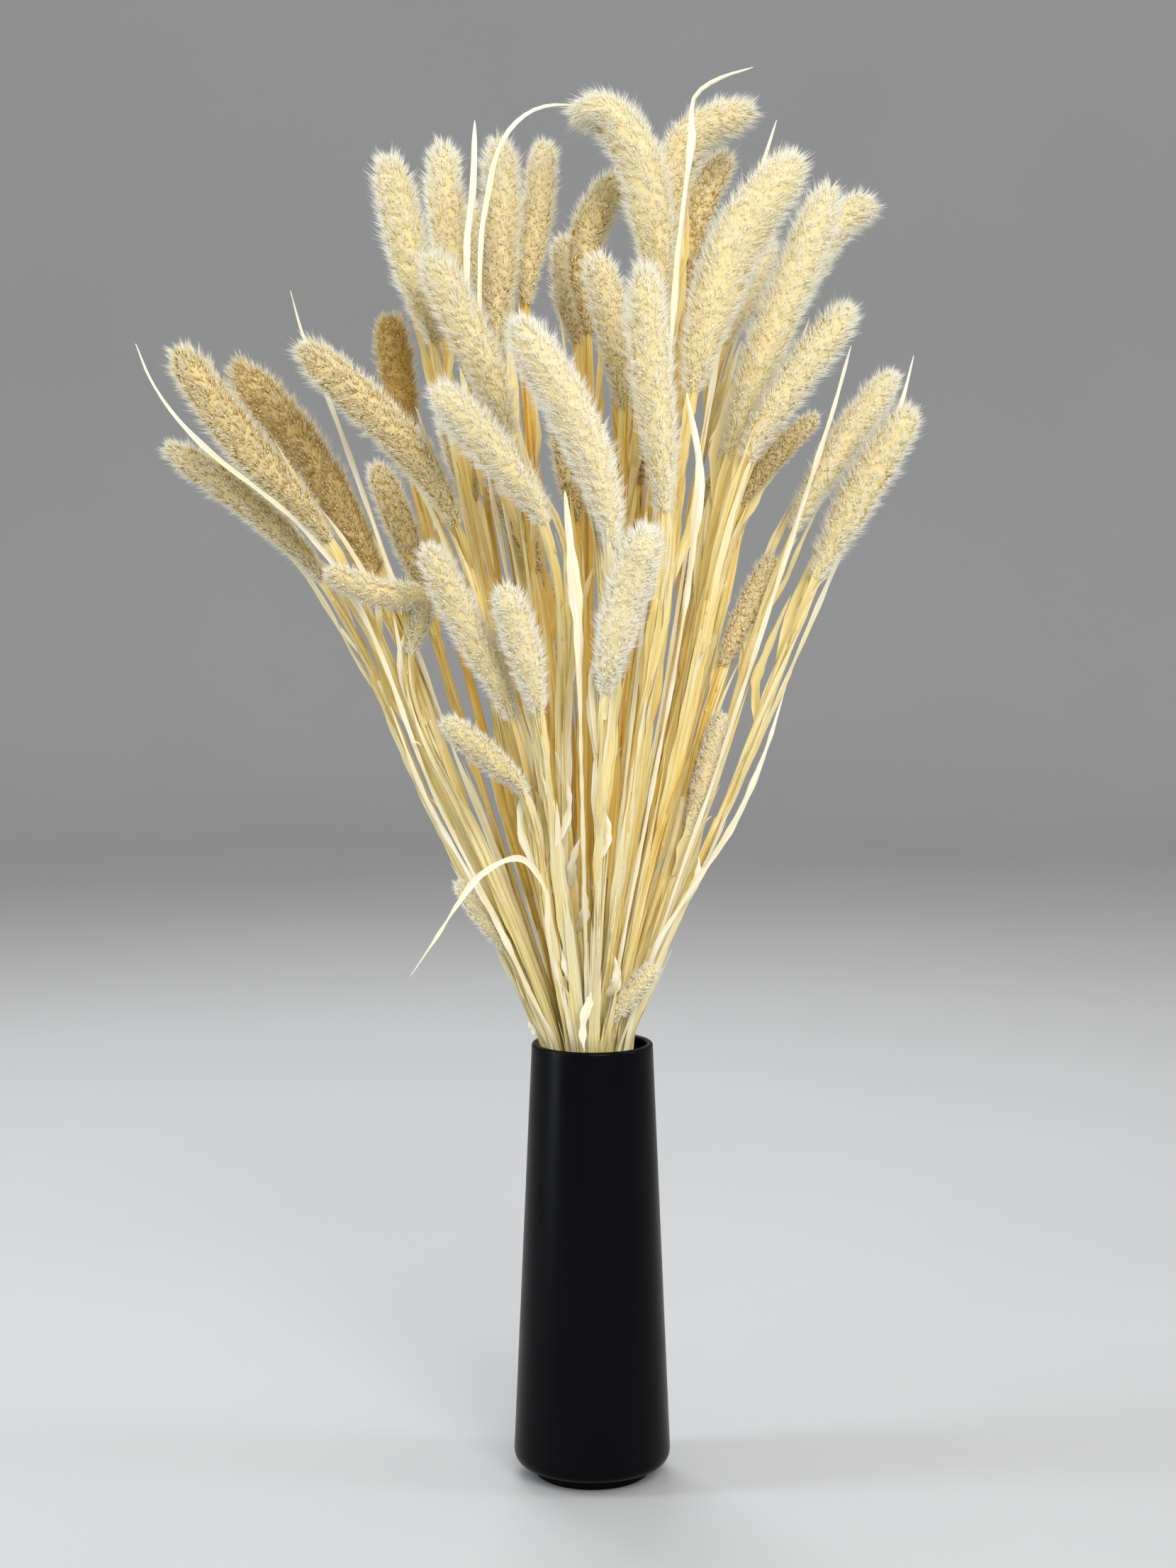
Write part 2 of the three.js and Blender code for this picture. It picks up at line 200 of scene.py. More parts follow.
def swept(line, across, thick, sides, finish, tone, angle=0.0, fold=0.0, grain_shift=0.0, crinkle=0.0):
    """A closed flat or round tube carried along a line.

    At each ring and angle a the surface is line + side * across * cos a + top * (thick * sin a
    + fold * across * (|cos a| - 1/2) + crinkle * across * cos a), with side and top turned by the ring's own
    angle. Across is half the width, and thick is half the thickness. A fold of 0 is a tube, and of 1 a keeled
    leaf, whose two edges are sharp. A crinkle per ring lifts one edge and lowers the other.
    """
    rings = len(line)
    across, thick, angle, tone, crinkle = (
        np.broadcast_to(value, rings).astype(float) for value in (across, thick, angle, tone, crinkle)
    )
    side, top = turned(*directions(line)[1:], angle)
    a = np.arange(sides) * math.tau / sides
    x = across[:, None] * np.cos(a)
    y = thick[:, None] * np.sin(a) + fold * (np.abs(x) - 0.5 * across[:, None]) + crinkle[:, None] * x
    points = line[:, None] + side[:, None] * x[..., None] + top[:, None] * y[..., None]
    points = np.vstack([points.reshape(-1, 3), line[:1], line[-1:]])
    walked = np.append(0, np.cumsum(np.linalg.norm(np.diff(line, axis=0), axis=1)))
    grain = np.stack([x, thick[:, None] * np.sin(a), np.broadcast_to(walked[:, None], x.shape)], axis=-1) / MM
    grain = np.vstack([grain.reshape(-1, 3), [[0, 0, 0], [0, 0, walked[-1] / MM]]]) + [grain_shift, 0, 0]
    tones = np.append(np.repeat(tone, sides), tone[[0, -1]])
    triangles = grid_triangles(rings, sides)
    rim = np.append(np.tile(np.isin(np.arange(sides), (0, sides // 2)) & (fold > 0), rings), [fold > 0] * 2)
    return Surface(points, triangles, np.full(len(triangles), finish), tones, grain, rim)


def planted(template, triangles, places, axes, length, width, tones, finish, rng):
    """Copies of a small template, one at each place.

    A copy's point is place + width * (x * side + y * top) + length * z * axis.
    """
    spin = rng.normal(size=axes.shape)
    side = unit(np.cross(axes, spin))
    top = np.cross(axes, side)
    x, y, z = (column[None, :, None] for column in template.T)
    length, width = np.reshape(length, (-1, 1, 1)), np.reshape(width, (-1, 1, 1))
    points = places[:, None] + width * (x * side[:, None] + y * top[:, None]) + length * z * axes[:, None]
    count = len(places)
    numbered = triangles[None] + np.arange(count)[:, None, None] * len(template)
    points = points.reshape(-1, 3)
    return Surface(
        points,
        numbered.reshape(-1, 3),
        np.full(count * len(triangles), finish),
        np.reshape(tones, -1),
        np.zeros_like(points),
        np.zeros(len(points), bool),
    )


def joined(surfaces):
    """One surface from several, their triangles renumbered."""
    starts = np.cumsum([0] + [len(surface.points) for surface in surfaces[:-1]])
    triangles = [surface.triangles + start for surface, start in zip(surfaces, starts)]
    columns = [np.concatenate([surface[i] for surface in surfaces]) for i in (0, 2, 3, 4, 5)]
    return Surface(columns[0], np.concatenate(triangles), *columns[1:])


def new_piece(name, surface, materials):
    """A mesh object at the origin from a surface, with tone and grain as attributes and sharp rims."""
    mesh = bpy.data.meshes.new(name)
    count = len(surface.triangles)
    mesh.vertices.add(len(surface.points))
    mesh.vertices.foreach_set("co", surface.points.astype(np.float32).ravel())
    mesh.loops.add(count * 3)
    mesh.loops.foreach_set("vertex_index", surface.triangles.astype(np.int32).ravel())
    mesh.polygons.add(count)
    mesh.polygons.foreach_set("loop_start", np.arange(count, dtype=np.int32) * 3)
    for material in materials:
        mesh.materials.append(material)
    mesh.polygons.foreach_set("material_index", surface.finish.astype(np.int32))
    mesh.polygons.foreach_set("use_smooth", np.ones(count, dtype=bool))
    mesh.attributes.new("tone", "FLOAT", "POINT").data.foreach_set("value", surface.tone.astype(np.float32))
    grain = mesh.attributes.new("grain", "FLOAT_VECTOR", "POINT")
    grain.data.foreach_set("vector", surface.grain.astype(np.float32).ravel())
    mesh.update(calc_edges=True)
    ends = np.empty(len(mesh.edges) * 2, np.int32)
    mesh.edges.foreach_get("vertices", ends)
    mesh.edges.foreach_set("use_edge_sharp", surface.rim[ends.reshape(-1, 2)].all(axis=1))
    mesh.validate()
    piece = bpy.data.objects.new(name, mesh)
    bpy.context.scene.collection.objects.link(piece)
    return piece


# The solids' own lines


def rings_of(node):
    """The rings of a stalk's or blade's solid, from its cut end to its tip.

    Each ring is one step of edges farther from the middle of the cut end. The result has the middle of each
    ring, its greatest radius, and the direction in which that radius is reached.
    """
    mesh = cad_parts[node].data
    corners = np.empty(len(mesh.vertices) * 3, np.float32)
    mesh.vertices.foreach_get("co", corners)
    loops = np.empty(len(mesh.loops), np.int32)
    mesh.loops.foreach_get("vertex_index", loops)
    corners = corners.reshape(-1, 3)
    _, first, number = np.unique(corners.round(6), axis=0, return_index=True, return_inverse=True)
    points = corners[first].astype(float)
    triangles = number.ravel()[loops].reshape(-1, 3)
    touching = np.zeros((len(points), len(points)), bool)
    touching[triangles[:, [0, 1, 2]], triangles[:, [1, 2, 0]]] = True
    touching |= touching.T
    low = np.flatnonzero(points[:, 2] < points[:, 2].min() + 0.01 * MM)
    middle = points[low].mean(axis=0)
    reached = np.arange(len(points)) == low[np.argmin(np.linalg.norm(points[low] - middle, axis=1))]
    edge = touching[reached].any(axis=0) & ~reached
    centres, radii, reaches = [], [], []
    while edge.any():
        ring = points[edge]
        arms = ring - ring.mean(axis=0)
        lengths = np.linalg.norm(arms, axis=1)
        centres.append(ring.mean(axis=0))
        radii.append(lengths.max())
        reaches.append(arms[lengths.argmax()])
        reached |= edge
        edge = touching[edge].any(axis=0) & ~reached
    return np.array(centres), np.array(radii), np.array(reaches)


# Materials


def shader(name, **sockets):
    """A new material, its Principled shader with sockets set by name, and a function that adds a node."""
    material = bpy.data.materials.new(name)
    material.use_nodes = True
    tree = material.node_tree
    surface = tree.nodes["Principled BSDF"]
    for socket, value in sockets.items():
        surface.inputs[socket.replace("_", " ")].default_value = value

    def add(kind, links=None, **settings):
        node = tree.nodes.new(kind)
        for key, value in settings.items():
            setattr(node, key, value)
        for socket, source in (links or {}).items():
            if isinstance(source, bpy.types.NodeSocket):
                tree.links.new(source, node.inputs[socket])
            else:
                node.inputs[socket].default_value = source
        return node

    return material, surface, add


def ramp(add, source, stops):
    """A colour ramp from a value, with stops of place and colour."""
    node = add("ShaderNodeValToRGB", {"Fac": source})
    while len(node.color_ramp.elements) < len(stops):
        node.color_ramp.elements.new(0.5)
    for element, (place, colour) in zip(node.color_ramp.elements, stops):
        element.position = place
        element.color = (*colour[:3], 1.0)
    return node.outputs["Color"]


def bristle_material(looks):
    """Fine bristles, bleached white at their tips, with painted golden shade where they leave the head."""
    sheen = {"Sheen_Weight": 0.25, "Sheen_Roughness": 0.4}
    material, surface, add = shader("bleached_bristles", Roughness=0.5, **sheen)
    tone = add("ShaderNodeAttribute", attribute_name="tone").outputs["Fac"]
    stops = [
        (0.0, looks.ripe_and_shade_colour),
        (0.16, looks.deep_and_shade_colour),
        (0.45, looks.cream_colour),
        (0.85, looks.bleached_colour),
    ]
    colour = ramp(add, tone, stops)
    material.node_tree.links.new(colour, surface.inputs["Base Color"])
    return material


def spikelet_material(looks):
    """Seed husks in cream, each a little lighter or darker, with a fine mottle, and with painted golden shade
    in the gaps between them and deep inside the bunch.
    """
    material, surface, add = shader("foxtail_husks", Roughness=0.6)
    tone = add("ShaderNodeAttribute", attribute_name="tone").outputs["Fac"]
    place = add("ShaderNodeTexCoord").outputs["Object"]
    mottle = add("ShaderNodeTexNoise", {"Vector": place, "Scale": 900.0, "Detail": 2.0}).outputs["Fac"]
    mixed = add("ShaderNodeMath", {0: tone, 1: mottle}, operation="MULTIPLY").outputs[0]
    stops = [
        (0.0, looks.ripe_and_shade_colour),
        (0.12, looks.deep_and_shade_colour),
        (0.38, looks.cream_colour),
        (0.75, looks.bleached_colour),
    ]
    colour = ramp(add, mixed, stops)
    material.node_tree.links.new(colour, surface.inputs["Base Color"])
    return material


def straw_material(looks):
    """Dry stems, sheaths and blades: fine fibres along the grain between golden straw and bleached white,
    with painted golden shade deep inside the bunch.
    """
    material, surface, add = shader("bleached_straw", Roughness=0.5)
    tone = add("ShaderNodeAttribute", attribute_name="tone").outputs["Fac"]
    grain = add("ShaderNodeAttribute", attribute_name="grain").outputs["Vector"]
    fibres_at = add("ShaderNodeMapping", {"Vector": grain, "Scale": (1.5, 1.5, 0.03)}).outputs[0]
    stains_at = add("ShaderNodeMapping", {"Vector": grain, "Scale": (0.4, 0.4, 0.025)}).outputs[0]
    fibres = add("ShaderNodeTexNoise", {"Vector": fibres_at, "Scale": 1.0, "Detail": 3.0}).outputs["Fac"]
    stains = add("ShaderNodeTexNoise", {"Vector": stains_at, "Scale": 1.0, "Detail": 2.0}).outputs["Fac"]
    fine = add("ShaderNodeMath", {0: fibres, 1: 1.3, 2: -0.65}, operation="MULTIPLY_ADD").outputs[0]
    slow = add("ShaderNodeMath", {0: stains, 1: 1.2, 2: -0.6}, operation="MULTIPLY_ADD").outputs[0]
    shade = add("ShaderNodeMath", {0: fine, 1: slow}, operation="ADD").outputs[0]
    shade = add("ShaderNodeMath", {0: shade, 1: tone}, operation="ADD").outputs[0]
    shade = add("ShaderNodeMath", {0: shade, 1: 0.8}, operation="MULTIPLY").outputs[0]
    stops = [
        (0.0, looks.straw_and_shade_colour),
        (0.4, looks.stem_colour),
        (0.84, looks.papery_colour),
        (1.0, looks.bleached_colour),
    ]
    colour = ramp(add, shade, stops)
    material.node_tree.links.new(colour, surface.inputs["Base Color"])
    bump = add("ShaderNodeBump", {"Height": fibres, "Strength": 0.35, "Distance": 0.0002})
    material.node_tree.links.new(bump.outputs[0], surface.inputs["Normal"])
    return material


def glaze_material(looks):
    """A satin black glaze, with slow waves and faint mottling in its gloss."""
    colour = (*looks.glaze_colour, 1.0)
    material, surface, add = shader("satin_black_glaze", Base_Color=colour, Specular_IOR_Level=0.065)
    place = add("ShaderNodeTexCoord").outputs["Object"]
    mottle = add("ShaderNodeTexNoise", {"Vector": place, "Scale": 60.0, "Detail": 4.0}).outputs["Fac"]
    rough = add(
        "ShaderNodeMapRange",
        {"Value": mottle, "To Min": looks.glaze_roughness - 0.05, "To Max": looks.glaze_roughness + 0.07},
    )
    material.node_tree.links.new(rough.outputs[0], surface.inputs["Roughness"])
    wave = add("ShaderNodeTexNoise", {"Vector": place, "Scale": 220.0, "Detail": 2.0}).outputs["Fac"]
    bump = add("ShaderNodeBump", {"Height": wave, "Strength": 0.06, "Distance": 0.0002})
    material.node_tree.links.new(bump.outputs[0], surface.inputs["Normal"])
    return material


# The grass


def head_shape(centres, radii):
    """A head's own line and radius, from the ring where the stalk is thinnest to its tip, and that ring."""
    root = int(np.argmin(radii[:-1]))
    line = smooth_line(centres[root:], HEAD_RINGS)
    walked = np.append(0, np.cumsum(np.linalg.norm(np.diff(centres[root:], axis=0), axis=1)))
    return line, np.interp(np.linspace(0, 1, HEAD_RINGS), walked / walked[-1], radii[root:]), root


def bead():
    """A husk: a ring of four between two points, and its eight triangles."""
    a = np.arange(4) * math.tau / 4
    ring = np.stack([np.cos(a) * 0.5, np.sin(a) * 0.5, np.full(4, 0.45)], axis=-1)
    return np.vstack([ring, [[0, 0, 0], [0, 0, 1]]]), grid_triangles(1, 4)


def needle():
    """A bristle: a slim three-sided spike, and its three side triangles."""
    a = np.arange(3) * math.tau / 3
    ring = np.stack([np.cos(a) * 0.5, np.sin(a) * 0.5, np.zeros(3)], axis=-1)
    return np.vstack([ring, [[0, 0, 1]]]), np.array([[0, 1, 3], [1, 2, 3], [2, 0, 3]])


def furry_head(line, radius, sizes, ripeness_and_shade, rng):
    """A foxtail head: a core, husks set in a spiral on it, and bristles from between the husks.

    The core's radius is the head's own less two thirds of the fringe, and at least 0.45 of it. Husk i stands
    at a share of the core's length that grows evenly with i, turned by i times the golden angle. A bristle
    starts in the core's surface and points along that surface's normal plus the head's forward direction
    times the bristle's lean. Its length takes it to the head's own radius, a little more or less, so that the
    bristles stand round the blunt tip like the rays of a dome. All the bristles of one husk lean much the
    same way and have much the same length, as a tuft.
    """
    shares = np.linspace(0, 1, len(line))
    walked = np.append(0, np.cumsum(np.linalg.norm(np.diff(line, axis=0), axis=1)))
    length = walked[-1]
    fringe = np.minimum(sizes.fringe, 0.42 * radius.max())
    end = 1 - 0.5 * fringe / length
    core_radius = np.maximum(radius - 0.66 * fringe, 0.45 * radius)
    core_line = along(shares, line, shares * end)
    core_radius = np.interp(shares * end, shares, core_radius)
    core_radius[-3:] *= [0.93, 0.8, 0.55]
    forward, side, top = directions(core_line)
    slope = np.gradient(core_radius, walked * end)

    def spot(share, angle, out):
        share = np.clip(share, 0, 1)
        level_side, level_top = along(shares, side, share), along(shares, top, share)
        outward = level_side * np.cos(angle)[:, None] + level_top * np.sin(angle)[:, None]
        level_forward = along(shares, forward, share)
        normal = unit(outward - level_forward * np.clip(np.interp(share, shares, slope), -3, 0.3)[:, None])
        reach = np.interp(share, shares, core_radius) * out
        return along(shares, core_line, share) + outward * reach[:, None], normal, level_forward

    # The core is painted in golden shade, darker than the husks, in the gaps between them
    thick = core_radius[::2] * 0.92
    core = swept(core_line[::2], thick, thick, 10, SPIKELET, 0.35 - 0.25 * ripeness_and_shade)

    husks = max(120, int(sizes.husks * length / USUAL_HEAD))
    number = np.arange(husks)
    husk_share = (number + 0.5) / husks
    husk_angle = number * GOLDEN_ANGLE + rng.normal(0, 0.2, husks)
    places, normal, ahead = spot(husk_share, husk_angle, rng.uniform(0.86, 1.06, husks))
    axes = unit(normal * 0.9 + ahead * 0.8 + rng.normal(0, 0.3, (husks, 3)))
    template, triangles = bead()
    # Painted shade: husks low on a head deep inside the bunch are darker
    shade = inwardness(places) * (1 - husk_share)
    bright = rng.uniform(0.65, 1.6, husks) * max(0.05, 1 - 0.7 * ripeness_and_shade) * (1 - 0.5 * shade)
    tones = np.repeat(bright, len(template))
    husk_length = rng.uniform(0.75, 1.2, husks) * sizes.husk_length
    seeds = planted(template, triangles, places, axes, husk_length, husk_length * 0.6, tones, SPIKELET, rng)

    count = max(900, int(sizes.bristles * length / USUAL_HEAD))
    tuft = rng.integers(0, husks, count)
    share = np.clip(husk_share[tuft] + rng.normal(0, 0.006, count), 0, 1)
    angle = husk_angle[tuft] + rng.normal(0, 0.13, count)
    roots, normal, ahead = spot(share, angle, np.full(count, 0.9))
    lean = sizes.bristle_lean * rng.uniform(0.6, 1.4, husks)[tuft] * rng.uniform(0.85, 1.15, count)
    spread = rng.normal(0, 0.15, (husks, 3))[tuft] + rng.normal(0, 0.09, (count, 3))
    axes = unit(normal + ahead * lean[:, None] + spread)
    reach = fringe + 0.1 * np.interp(share, shares, core_radius)
    tuft_length = rng.uniform(0.6, 1.15, husks)[tuft]
    lengths = reach * np.sqrt(1 + lean**2) * tuft_length * rng.triangular(0.5, 0.85, 1.35, count)
    template, triangles = needle()
    rise = template[None, :, 2]
    # Painted golden shade: each bristle is darker at its root, deep in the fur, and darker still low on a
    # head inside the bunch
    tones = (0.32 + 0.8 * rise) * rng.uniform(0.8, 1.05, husks)[tuft, None] - ripeness_and_shade * (0.9 - 0.45 * rise)
    tones = tones - 0.4 * (inwardness(roots) * (1 - share))[:, None]
    bristles = planted(template, triangles, roots, axes, lengths, sizes.bristle_width, tones, BRISTLE, rng)
    return [core, seeds, bristles]


def inwardness(points):
    """How deep points lie in the bunch, 1 on its middle line and 0 at its outside: the mask of painted golden
    shade.

    The outside is an ellipse that widens upwards. The depth fades to 0 at the mouth, where every stalk is
    near the outside.
    """
    rise = np.maximum(points[:, 2] - MOUTH_HEIGHT, 0)
    across, deep = MOUTH_REACH + FAN_WIDENING * rise, MOUTH_REACH + 0.6 * FAN_WIDENING * rise
    inward = 1 - np.minimum(np.hypot(points[:, 0] / across, points[:, 1] / deep), 1)
    return inward * np.minimum(rise / SHADE_FULL_HEIGHT, 1)


def sheathed_stem(line, radii, rng, sizes, ripeness_and_shade, beyond):
    """A jointed stem with leaf sheaths round it, torn papery ends, and dry blades along it and at its joints.

    The stem swells a little at each joint. A sheath is a flattened tube that widens up to a joint. A blade
    runs past the stem's end by no more than the length called beyond.
    """
    shares = np.linspace(0, 1, len(line))
    # Painted golden shade deep inside the bunch, together with the head's ripeness, darkens the stem and its
    # sheaths
    deep = 0.65 * inwardness(line) + 0.2 * ripeness_and_shade
    joints = np.sort(rng.uniform(0.3, 0.92, 3))
    swell = sum(np.exp(-(((shares - joint) / 0.006) ** 2)) for joint in joints)
    thick = radii * (0.92 + 0.25 * swell)
    tone = rng.uniform(0.35, 0.65) - deep
    parts = [swept(line, thick, thick, 8, STRAW, tone, grain_shift=rng.uniform(0, 90))]
    length = np.linalg.norm(np.diff(line, axis=0), axis=1).sum()
    for joint in rng.uniform(0.28, 0.97, sizes.blades):
        longest = (1 - joint) * length + beyond
        tone = rng.uniform(0.3, 0.9) - 0.25 * ripeness_and_shade
        parts.append(loose_blade(line, shares, joint, length, rng, sizes, tone, 0.4, 0.0, longest))
    for joint in rng.uniform(0.35, 0.97, sizes.torn_sheaths):
        parts.append(torn_sheath(line, shares, joint, rng, sizes))
    for joint in joints:
        start = max(0.05, joint - rng.uniform(0.25, 0.4))
        at = np.linspace(start, joint, 20)
        path = along(shares, line, at)
        rise = np.linspace(0, 1, 20)
        wide = SHEATH_HALF_WIDTH + SHEATH_GAIN * rise * (1 - 0.4 * rise)
        tone = rng.uniform(0.3, 0.85) - np.interp(at, shares, deep)
        angle = rng.uniform(0, math.pi) + 0.6 * rise
        parts.append(swept(path, wide, SHEATH_HALF_DEPTH, 10, STRAW, tone, angle, 0.0, rng.uniform(0, 90)))
        longest = (1 - joint) * length + beyond
        tone = rng.uniform(0.4, 0.95)
        parts.append(loose_blade(line, shares, joint, length, rng, sizes, tone, 1.0, 0.0, longest))
    return parts


def loose_blade(line, shares, joint, stem_length, rng, sizes, tone, freedom, behind, longest):
    """A narrow dry blade from a joint of a stem: it runs on beside the stem, bends aside and ends in a point.

    It bends aside by the square of the share of its length, and droops by a quarter of the bend times the
    cube. One that passes behind the stalk's head is moved back by the distance called behind, and a little
    less sideways.
    """
    u = np.linspace(0, 1, 16)
    length = min(sizes.blade_length * rng.uniform(0.5, 1.3), longest)
    at = joint + u * length / stem_length
    beside = along(shares, line, np.clip(at, 0, 1))
    over = np.maximum(at - 1, 0)[:, None] * stem_length
    forward = unit(line[-1] - line[-4])
    outward = unit(np.append(line[-1][:2] - line[0][:2], 0.0) + rng.normal(0, 0.02, 3) * [1, 1, 0])
    aside = unit(outward + rng.normal(0, 0.8, 3) * [1, 1, 0.2])
    bend = rng.uniform(0.015, 0.075) * length * freedom
    droop = np.array([0, 0, 1]) * (0.25 * bend * u**3)[:, None]
    path = beside + forward * over + aside * (BLADE_GAP + bend * u**2)[:, None] - droop
    path += behind * np.array([rng.uniform(-0.7, 0.7), 1.0, 0.0]) * np.minimum(1, 3 * u)[:, None]
    wide = rng.uniform(0.4, 1.1) * sizes.blade_width / 2 * np.minimum(1, 0.45 + 2.2 * u) * (1 - u**2.2) ** 0.9
    wave = 0.14 * np.sin(u * rng.uniform(12, 30) + rng.uniform(0, 6))
    # Lighter towards the tip, and darker with painted golden shade deep inside the bunch
    tone = tone + 0.15 * u - 0.5 * inwardness(path)
    angle = rng.uniform(0, math.pi) + rng.uniform(-2.5, 2.5) * u
    crinkle = 0.12 * np.sin(u * rng.uniform(10, 26) + rng.uniform(0, 6))
    fold, shift = rng.uniform(0.1, 0.6), rng.uniform(0, 90)
    return swept(path, wide * (1 + wave), NARROW_HALF, 4, STRAW, tone, angle, fold, shift, crinkle)


def flag_blades(centres, root, head_radius, sizes, rng):
    """Blades that leave a stalk's stem and rise behind its head, up to about its tip."""
    line = smooth_line(centres, 100)
    shares = np.linspace(0, 1, len(line))
    length = np.linalg.norm(np.diff(line, axis=0), axis=1).sum()
    neck = np.linalg.norm(np.diff(centres[: root + 2], axis=0), axis=1).sum() / length
    joints = neck * rng.uniform(0.78, 0.98, sizes.flag_blades)
    tones = rng.uniform(0.35, 0.95, sizes.flag_blades)
    longest = (1 - joints + rng.uniform(-0.3, 0.08, sizes.flag_blades) * (1 - neck)) * length
    return [
        loose_blade(line, shares, joint, length, rng, sizes, tone, 0.15, head_radius, most)
        for joint, tone, most in zip(joints, tones, longest)
    ]


def papery_scrap(line, height, sideways, upwards, out, width, bow, rng):
    """A white scrap on a stem: a straight run plus a wave to the side and one to the front, flat side out."""
    u = np.linspace(0, 1, 16)
    start = along(line[:, 2], line, np.array([height * MM]))
    across = sideways * u + bow * np.sin(math.pi * u)
    front = -1.5 - out * np.sin(0.8 * math.pi * u)
    path = start + np.stack([across, front, upwards * u], axis=-1) * MM
    wide = width / 2 * MM * np.minimum(1, 0.35 + 3 * u) * (1 - u**3) ** 0.8 * (1 + 0.2 * np.sin(u * 19))
    crinkle = 0.4 * np.sin(u * 14 + rng.uniform(0, 6))
    angle, shift = rng.uniform(-0.9, 0.9) * u, rng.uniform(0, 90)
    return swept(path, wide, PAPER_HALF, 4, STRAW, 1.1, angle, 0.3, shift, crinkle)


def torn_sheath(line, shares, joint, rng, sizes):
    """A short papery end torn off a sheath, which curls away from the stem along part of a circle."""
    u = np.linspace(0, 1, 12)
    start = along(shares, line, np.array([joint, joint + 0.01]))
    forward = unit(start[1] - start[0])
    outward = np.append(start[0][:2], 0.0) + rng.normal(0, 0.01, 3) * [1, 1, 0]
    aside = unit(outward - forward * (outward @ forward))
    length, curl = sizes.torn_length * rng.uniform(0.4, 1.3), rng.uniform(0.15, 0.7)
    rise, out = np.sin(u * curl) / curl, (1 - np.cos(u * curl)) / curl
    path = start[0] + aside * PAPER_GAP + length * (forward * rise[:, None] + aside * out[:, None])
    wide = sizes.blade_width * rng.uniform(0.12, 0.32) * np.minimum(1, 0.5 + 3 * u) * (1 - u**3) ** 0.8
    _, side, top = directions(start)
    facing = math.atan2(aside @ top[0], aside @ side[0]) + math.pi / 2
    angle = facing + rng.uniform(-1.5, 1.5) * u
    crinkle = 0.2 * np.sin(u * rng.uniform(6, 14) + rng.uniform(0, 6))
    tone, shift = rng.uniform(0.7, 1.1), rng.uniform(0, 90)
    return swept(path, wide, PAPER_HALF, 4, STRAW, tone, angle, 0.4, shift, crinkle)


def stalk_surface(node, sizes):
    """One whole stalk on its solid: the stem with its sheaths and blades, then the furry head."""
    rng = np.random.default_rng(STALKS.index(node) + 11)
    centres, radii, _ = rings_of(node)
    head, radius, root = head_shape(centres, radii)
    stem = smooth_line(centres[: root + 2], STEM_RINGS)
    stem_radii = np.interp(np.linspace(0, 1, STEM_RINGS), np.linspace(0, 1, root + 1), radii[: root + 1])
    ripeness_and_shade = RIPENESS_AND_SHADE.get(node, rng.uniform(0, 0.12))
    scraps = [papery_scrap(stem, *scrap, rng) for scrap in PAPERY_SCRAPS.get(node, [])]
    head_length = np.linalg.norm(np.diff(head, axis=0), axis=1).sum()
    return joined(
        sheathed_stem(stem, stem_radii, rng, sizes, ripeness_and_shade, 0.5 * head_length)
        + flag_blades(centres, root, radius.max(), sizes, rng)
        + furry_head(head, radius, sizes, ripeness_and_shade, rng)
        + scraps
    )


def blade_surface(node):
    """One large leaf blade on its solid: the solid's own line, a width a little under its own, and a keel."""
    rng = np.random.default_rng(BLADES.index(node) + 301)
    centres, radii, reaches = rings_of(node)
    line = smooth_line(centres, BLADE_RINGS)
    walked = np.append(0, np.cumsum(np.linalg.norm(np.diff(centres, axis=0), axis=1)))
    shares = np.linspace(0, 1, len(line))
    wide = np.interp(shares, walked / walked[-1], np.append(radii[:-1], 0.0002))
    _, side, top = directions(line)
    reach = unit(reaches[len(reaches) // 2][None])
    middle = len(line) // 2
    angle = math.atan2(float(reach @ top[middle]), float(reach @ side[middle]))
    ripple = 0.8 + 0.13 * np.sin(shares * 55 + rng.uniform(0, 6))
    ripple += 0.07 * np.sin(shares * 131 + rng.uniform(0, 6))
    angle = angle + 0.5 * np.sin(shares * rng.uniform(8, 14) + rng.uniform(0, 6))
    crinkle = 0.3 * np.sin(shares * 75 + rng.uniform(0, 6)) * np.sin(shares * 23)
    tone = 0.9 + 0.2 * shares
    shift = rng.uniform(0, 90)
    return swept(line, wide * ripple, LARGE_HALF, 10, STRAW, tone, angle, 0.45, shift, crinkle)


# The vase and the floor


def bend(start, corner, end, count):
    """A quadratic curve from start to end that leaves and arrives along the lines to the corner."""
    t = np.linspace(0, 1, count)[:, None]
    return start * (1 - t) ** 2 + corner * 2 * t * (1 - t) + end * t**2


def revolved(profile, sides, finish):
    """An outline of radius r and height z turned about the axis: at angle a it is (r cos a, r sin a, z)."""
    a = np.arange(sides) * math.tau / sides
    radius, height = profile[1:-1, 0, None], profile[1:-1, 1, None]
    height = np.broadcast_to(height, (len(radius), sides))
    rings = np.stack([radius * np.cos(a), radius * np.sin(a), height], axis=-1)
    ends = [[0, 0, profile[0, 1]], [0, 0, profile[-1, 1]]]
    points = np.vstack([rings.reshape(-1, 3), ends])
    triangles = grid_triangles(len(radius), sides)
    finishes, tones = np.full(len(triangles), finish), np.ones(len(points))
    return Surface(points, triangles, finishes, tones, points / MM, np.zeros(len(points), bool))


